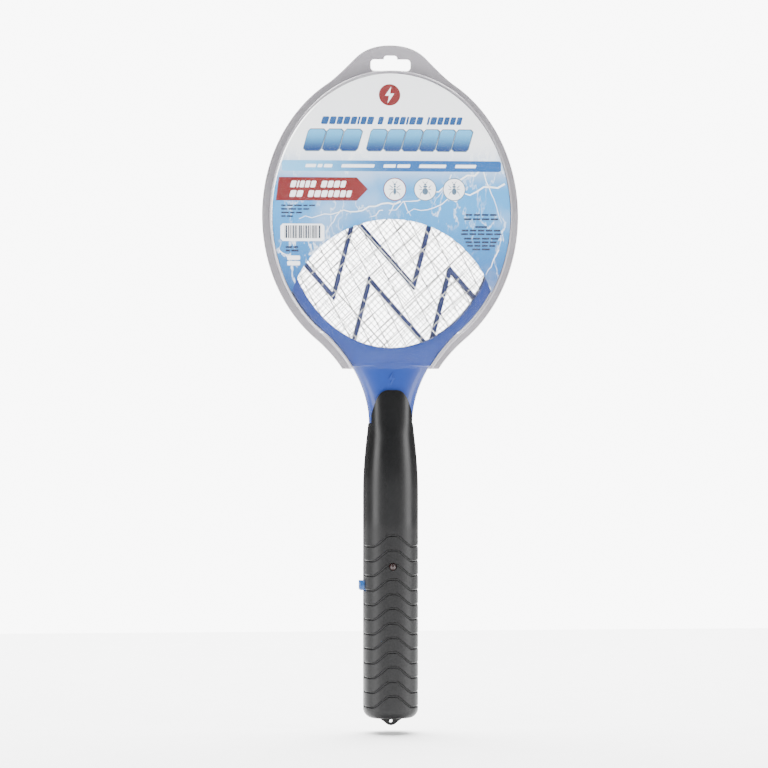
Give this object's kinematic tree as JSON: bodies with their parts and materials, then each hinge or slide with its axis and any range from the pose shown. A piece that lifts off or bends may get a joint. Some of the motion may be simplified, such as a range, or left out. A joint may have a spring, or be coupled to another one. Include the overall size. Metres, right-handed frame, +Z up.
{
  "type": "electric fly swatter",
  "caption": "Racket-shaped electric fly swatter with an oval wire-mesh head and black handle, in its clear hanging retail pack with a printed card.",
  "frame": {"origin": "top of the hang slot's centre bump, where the display peg bears, midway between front and rear", "axes": "+Z up along the length, front towards -Y, power button on the -X side"},
  "size_m": [0.1724, 0.0345, 0.4555],
  "materials": {
    "frame_blue": "satin moulded blue",
    "rib_blue": "moulded dark blue",
    "mesh_wire": "bright drawn wire",
    "handle_black": "satin moulded black with a textured grip",
    "button_blue": "moulded blue",
    "screw_steel": "zinc-plated",
    "contact_steel": "nickel-plated",
    "board_green": "solder-masked board",
    "led_red": "tinted clear red, unlit",
    "component_black": "moulded",
    "resistor_body": "lacquered",
    "capacitor_film": "dipped film",
    "transformer_tape": "taped winding",
    "lead_red": "insulated lead",
    "lead_black": "insulated lead",
    "cell_sleeve": "printed sleeve",
    "package_film": "clear thermoformed film",
    "package_card": "printed gloss card"
  },
  "bodies": {
    "swatter": {"front_frame": "frame_blue", "rear_frame": "frame_blue", "front_spacer": "rib_blue", "rear_spacer": "rib_blue", "front_guard_mesh": "mesh_wire", "high_voltage_mesh": "mesh_wire", "rear_guard_mesh": "mesh_wire", "handle_front_shell": "handle_black", "handle_rear_shell": "handle_black", "frame_screw_1": "screw_steel", "frame_screw_2": "screw_steel", "frame_screw_3": "screw_steel", "frame_screw_4": "screw_steel", "frame_screw_5": "screw_steel", "frame_screw_6": "screw_steel", "handle_screw_upper": "screw_steel", "handle_screw_middle": "screw_steel", "handle_screw_lower": "screw_steel", "battery_contact_negative": "contact_steel", "battery_contact_positive": "contact_steel", "battery_contact_link": "contact_steel", "battery_spring_upper": "contact_steel", "battery_spring_lower": "contact_steel", "circuit_board": "board_green", "led_indicator": "led_red", "push_switch": "component_black", "oscillator_transistor": "component_black", "rectifier_diode_upper": "component_black", "rectifier_diode_lower": "component_black", "bleed_resistor": "resistor_body", "storage_capacitor": "capacitor_film", "step_up_transformer": "transformer_tape", "high_voltage_lead": "lead_red", "battery_lead_positive": "lead_red", "front_guard_lead": "lead_black", "rear_guard_lead": "lead_black", "battery_lead_negative": "lead_black", "battery_cell_left": "cell_sleeve", "battery_cell_right": "cell_sleeve", "package_front_shell": "package_film", "package_rear_shell": "package_film", "package_card": "package_card"},
    "power_button": {"power_button": "button_blue", "switch_plunger": "button_blue"},
    "battery_door": {"battery_door": "handle_black"}
  },
  "joints": [
    {"name": "button_press", "type": "slide", "parent": "swatter", "child": "power_button", "axis": [1, 0, 0], "range_m": [0, 0.0016], "stiffness_N_per_m": 300},
    {"name": "battery_door_slide", "type": "slide", "parent": "swatter", "child": "battery_door", "axis": [0, 0, -1], "range_m": [0, 0.07]}
  ]
}
